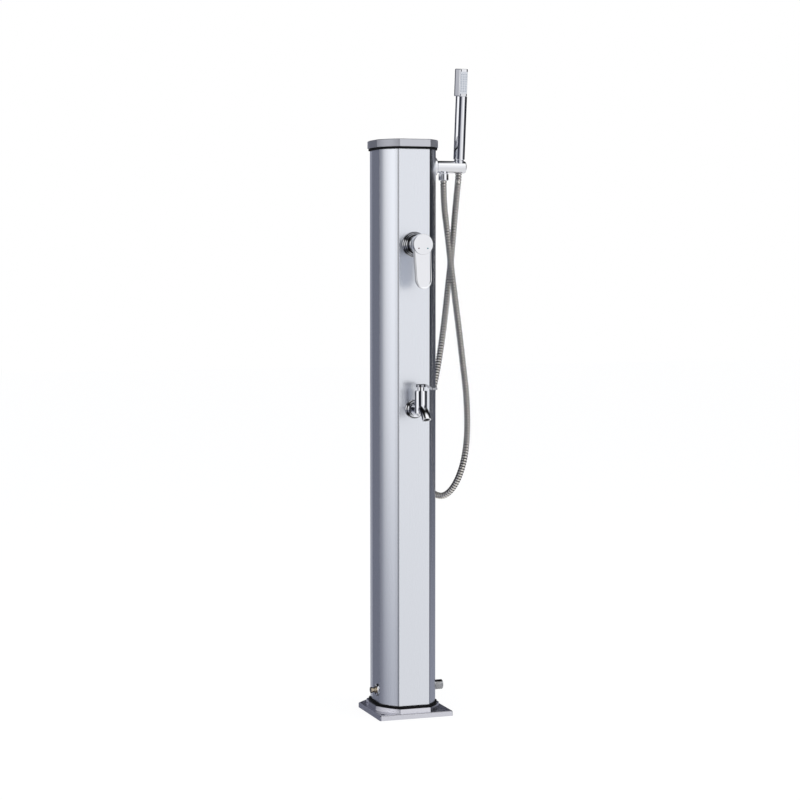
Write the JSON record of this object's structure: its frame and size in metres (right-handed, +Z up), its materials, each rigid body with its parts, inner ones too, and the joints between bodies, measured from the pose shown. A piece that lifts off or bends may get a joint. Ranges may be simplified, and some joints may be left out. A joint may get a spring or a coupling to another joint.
{
  "type": "outdoor shower post",
  "caption": "Aluminium outdoor shower column with a hand shower on a ribbed hose, a single-lever mixer, a foot tap, a water inlet and a drain",
  "frame": {"origin": "centre of the profile in the base plate's underside, on the floor", "axes": "+Z up the post, -Y out of the front face with the mixer and the foot tap, +X towards the hand shower and the water inlet"},
  "size_m": [0.2268, 0.2745, 1.3663],
  "materials": {
    "aluminium": "satin",
    "plate": "satin",
    "gasket": "matt",
    "steel": "satin",
    "brass": "satin",
    "copper": "satin",
    "ceramic": "gloss",
    "dark_plastic": "matt",
    "chrome": "mirror polished",
    "bronze": "polished",
    "hose": "polished ribs",
    "screws": "dark",
    "spray": "gloss",
    "nozzles": "matt",
    "red_mark": "gloss",
    "blue_mark": "gloss"
  },
  "bodies": {
    "post": {"base_gasket": "gasket", "base_locator": "dark_plastic", "base_plate": "plate", "cap_locator": "dark_plastic", "cartridge_nut": "brass", "cold_riser": "copper", "drain_bush": "brass", "drain_locknut": "brass", "drain_ring": "chrome", "feed_tee": "brass", "holder_arm": "chrome", "holder_flange": "chrome", "holder_locknut": "brass", "hose_ferrule": "steel", "hose_nut": "chrome", "hot_standpipe": "copper", "inlet_locknut": "brass", "inlet_spigot": "chrome", "inlet_tee": "brass", "mixer_body": "brass", "mixer_cartridge": "ceramic", "mixer_flange": "chrome", "mixer_locknut": "brass", "mixer_sleeve": "chrome", "outlet_nipple": "brass", "outlet_washer": "gasket", "post_shell": "aluminium", "shower_hose": "hose", "shower_pipe": "copper", "tap_aerator": "dark_plastic", "tap_body": "chrome", "tap_headwork": "chrome", "tap_locknut": "brass", "tap_rosette": "chrome", "tie_rod_nuts": "steel", "tie_rods": "steel", "top_cap": "plate", "top_gasket": "gasket"},
    "mixer_turret": {"cartridge_turret": "dark_plastic", "stem_pin": "steel"},
    "mixer_lever": {"cartridge_stem": "brass", "mixer_lever": "chrome", "lever_grub_screw": "screws", "hot_dot": "red_mark", "cold_dot": "blue_mark"},
    "tap_lever": {"tap_disc": "ceramic", "tap_spindle": "brass", "tap_lever": "chrome", "tap_lever_screw": "screws"},
    "hose_end": {"hose_swivel": "steel"},
    "handset": {"hose_cone": "chrome", "handset_washer": "gasket", "handset_handle": "chrome", "handset_head": "chrome", "spray_face": "spray", "spray_nozzles": "nozzles"},
    "drain_plug": {"drain_plug": "bronze"}
  },
  "joints": [
    {"name": "mixer_turn", "type": "hinge", "parent": "post", "child": "mixer_turret", "pos_m": [0, -0.1, 0.995], "axis": [0, -1, 0], "range_deg": [-45, 45]},
    {"name": "mixer_lift", "type": "hinge", "parent": "mixer_turret", "child": "mixer_lever", "pos_m": [0, -0.1, 0.995], "axis": [-1, 0, 0], "range_deg": [0, 20]},
    {"name": "tap_turn", "type": "hinge", "parent": "post", "child": "tap_lever", "pos_m": [0, -0.11, 0.7], "axis": [0, 0, -1], "range_deg": [0, 90]},
    {"name": "handset_lift", "type": "slide", "parent": "post", "child": "hose_end", "axis": [0, -0.1045, 0.9945], "range_m": [0, 0.08]},
    {"name": "handset_turn", "type": "hinge", "parent": "hose_end", "child": "handset", "pos_m": [0.1232, -0.00345, 1.1597], "axis": [0, -0.1045, 0.9945], "continuous": true},
    {"name": "drain_turn", "type": "hinge", "parent": "post", "child": "drain_plug", "pos_m": [-0.0628, -0.01, 0.051], "axis": [-1, 0, 0], "continuous": true}
  ]
}
